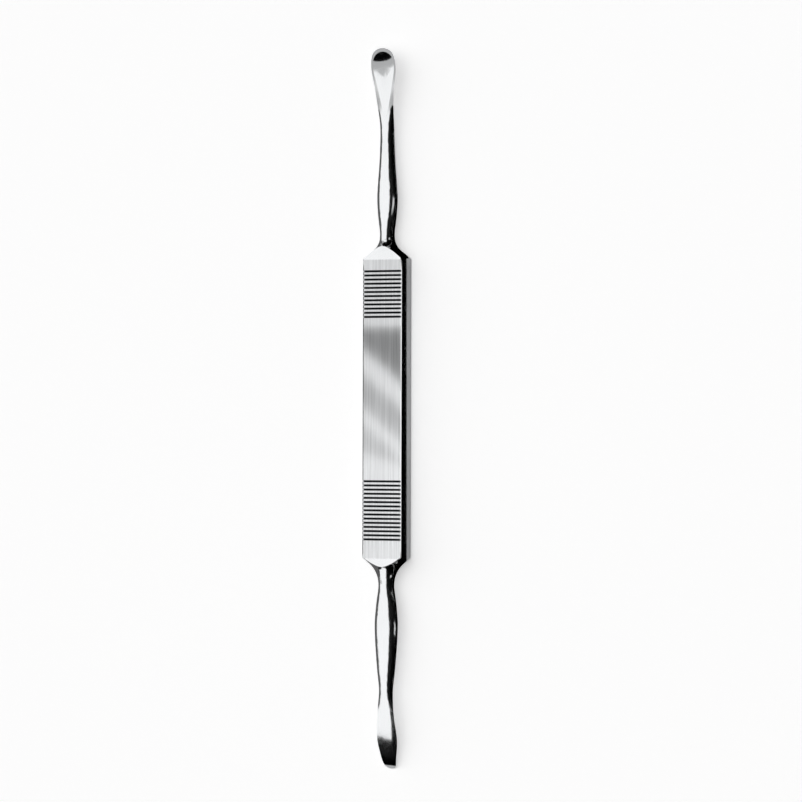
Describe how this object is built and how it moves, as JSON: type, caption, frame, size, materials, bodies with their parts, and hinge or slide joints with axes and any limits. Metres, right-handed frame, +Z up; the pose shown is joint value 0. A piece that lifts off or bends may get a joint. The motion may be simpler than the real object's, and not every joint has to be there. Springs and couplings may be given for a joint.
{
  "type": "raspatory",
  "caption": "Flat steel raspatory with two working ends: a broad hollowed blade and a narrow pointed one, bent opposite ways, and cross grooves near both ends of the handle.",
  "frame": {"origin": "middle of the length and width, on the surface that the tool lies on", "axes": "+Y along the tool towards its broad blade, +Z up off the surface, +X across the handle"},
  "size_m": [0.0098, 0.16, 0.0054],
  "materials": {
    "stainless_steel": "satin ground handle panels, polished edges, necks and blades"
  },
  "bodies": {
    "root": {"raspatory": "stainless_steel"}
  },
  "joints": []
}
